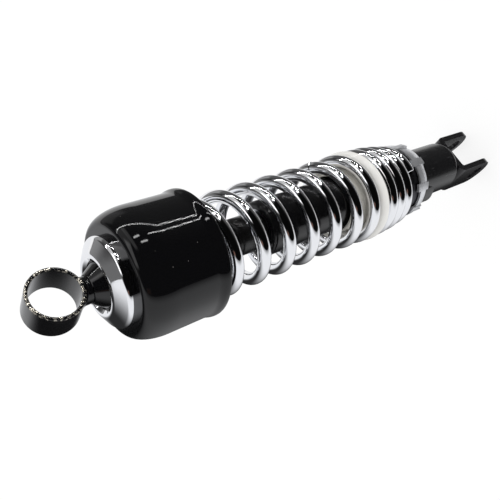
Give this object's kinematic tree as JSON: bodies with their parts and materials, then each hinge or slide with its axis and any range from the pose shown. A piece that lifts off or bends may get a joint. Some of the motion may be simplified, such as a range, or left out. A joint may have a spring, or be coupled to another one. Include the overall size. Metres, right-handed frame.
{
  "type": "rear shock absorber",
  "caption": "Coil-over rear shock absorber for a motorcycle: twin-tube damper in a coil spring, covered top, upper eye, lower clevis and stepped preload collar.",
  "frame": {"origin": "centre of the clevis pin hole, on the damper axis", "axes": "+Z along the damper axis from the clevis to the upper eye, +Y along the clevis pin, +X along the bore of the upper eye"},
  "size_m": [0.067, 0.067, 0.3447],
  "materials": {
    "black_paint": "gloss black enamel",
    "dark_steel": "satin dark grey phosphate",
    "spring_chrome": "bright chrome",
    "cap_chrome": "bright chrome",
    "rod_chrome": "ground hard chrome",
    "zinc_plate": "dull zinc plate",
    "zinc_steel": "zinc plated steel",
    "spring_steel": "blued spring steel",
    "cylinder_steel": "drawn steel tube",
    "sintered_iron": "sintered iron",
    "bronze": "bronze backed bush",
    "rubber": "matte black rubber",
    "white_plastic": "off-white nylon",
    "ptfe": "filled plastic bearing band"
  },
  "bodies": {
    "damper_body": {"lower_clevis": "black_paint", "lower_socket": "black_paint", "damper_tube": "black_paint", "pressure_cylinder": "cylinder_steel", "foot_valve_body": "sintered_iron", "foot_valve_plate": "spring_steel", "foot_valve_bolt": "zinc_steel", "rod_guide": "sintered_iron", "rod_guide_bush": "bronze", "guide_o_ring": "rubber", "oil_seal": "rubber", "seal_garter_spring": "spring_steel", "seal_washer": "zinc_steel", "bump_stop": "rubber", "coil_spring": "spring_chrome"},
    "spring_seat": {"lower_spring_seat": "dark_steel", "spring_guide": "white_plastic"},
    "collar": {"preload_collar": "zinc_plate"},
    "upper_cover": {"upper_spring_seat": "dark_steel", "shroud": "black_paint", "dish_cap": "cap_chrome"},
    "rod": {"upper_eye": "black_paint", "piston_rod": "rod_chrome", "rod_lock_nut": "zinc_steel", "bump_washer": "zinc_steel", "rebound_clip": "spring_steel", "rebound_stop": "rubber", "piston_backing_washer": "zinc_steel", "piston_check_plate": "spring_steel", "piston": "sintered_iron", "piston_ring": "ptfe", "rebound_shims": "spring_steel", "shim_support_washer": "zinc_steel", "piston_nut": "zinc_steel"}
  },
  "joints": [
    {"name": "stroke", "type": "slide", "parent": "damper_body", "child": "upper_cover", "axis": [0, 0, -1], "range_m": [0, 0.0538], "stiffness_N_per_m": 20000, "springref_m": -0.01, "deforming": ["coil_spring"]},
    {"name": "eye_turn", "type": "hinge", "parent": "upper_cover", "child": "rod", "pos_m": [0, 0, 0.32], "axis": [0, 0, 1], "continuous": true},
    {"name": "preload_lift", "type": "slide", "parent": "damper_body", "child": "spring_seat", "axis": [0, 0, 1], "range_m": [0, 0.007], "deforming": ["coil_spring"]},
    {"name": "preload_turn", "type": "hinge", "parent": "spring_seat", "child": "collar", "pos_m": [0, 0, 0.08], "axis": [0, 0, -1], "range_deg": [0, 100]}
  ],
  "couplings": [
    {"joint": "preload_turn", "follows": "preload_lift", "rad_per_m": 249.3}
  ]
}
